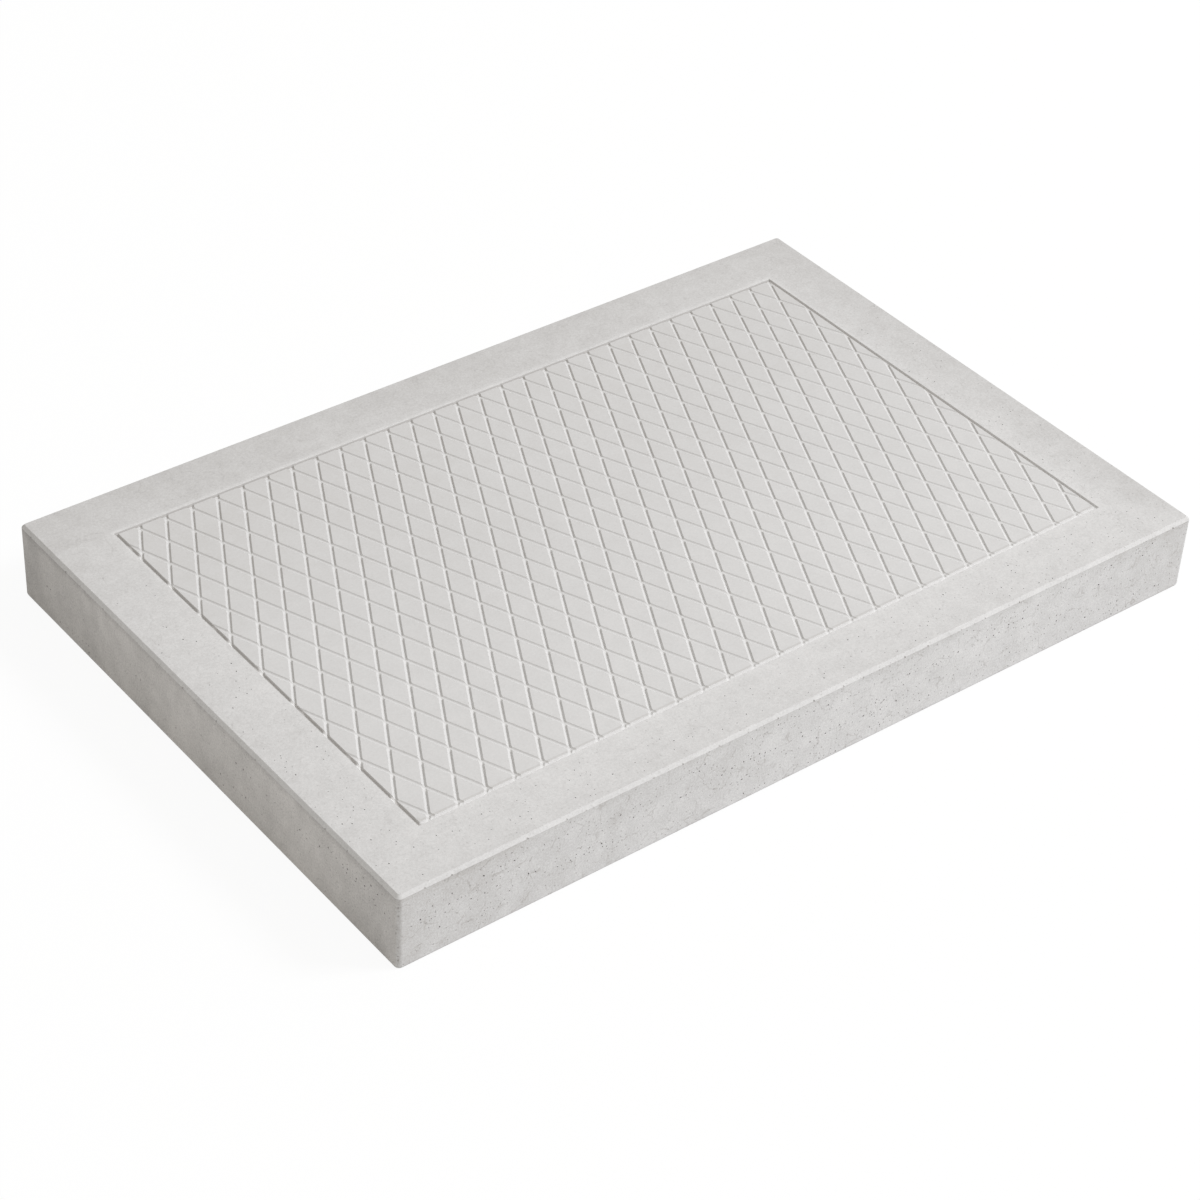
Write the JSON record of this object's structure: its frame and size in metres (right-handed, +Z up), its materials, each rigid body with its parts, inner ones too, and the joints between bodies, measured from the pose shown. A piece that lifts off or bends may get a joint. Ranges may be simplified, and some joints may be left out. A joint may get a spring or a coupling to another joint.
{
  "type": "concrete paving slab",
  "caption": "Rectangular cast concrete paving slab with a plain border and a panel of shallow diamond anti-slip grooves on its walking face.",
  "frame": {"origin": "centre of the underside, on the floor that the slab lies on", "axes": "+X along the slab's length, +Y along its width, +Z up through the grooved walking face"},
  "size_m": [0.9, 0.6, 0.08],
  "materials": {
    "concrete": "smooth cast, matt"
  },
  "bodies": {
    "root": {"slab": "concrete"}
  },
  "joints": []
}
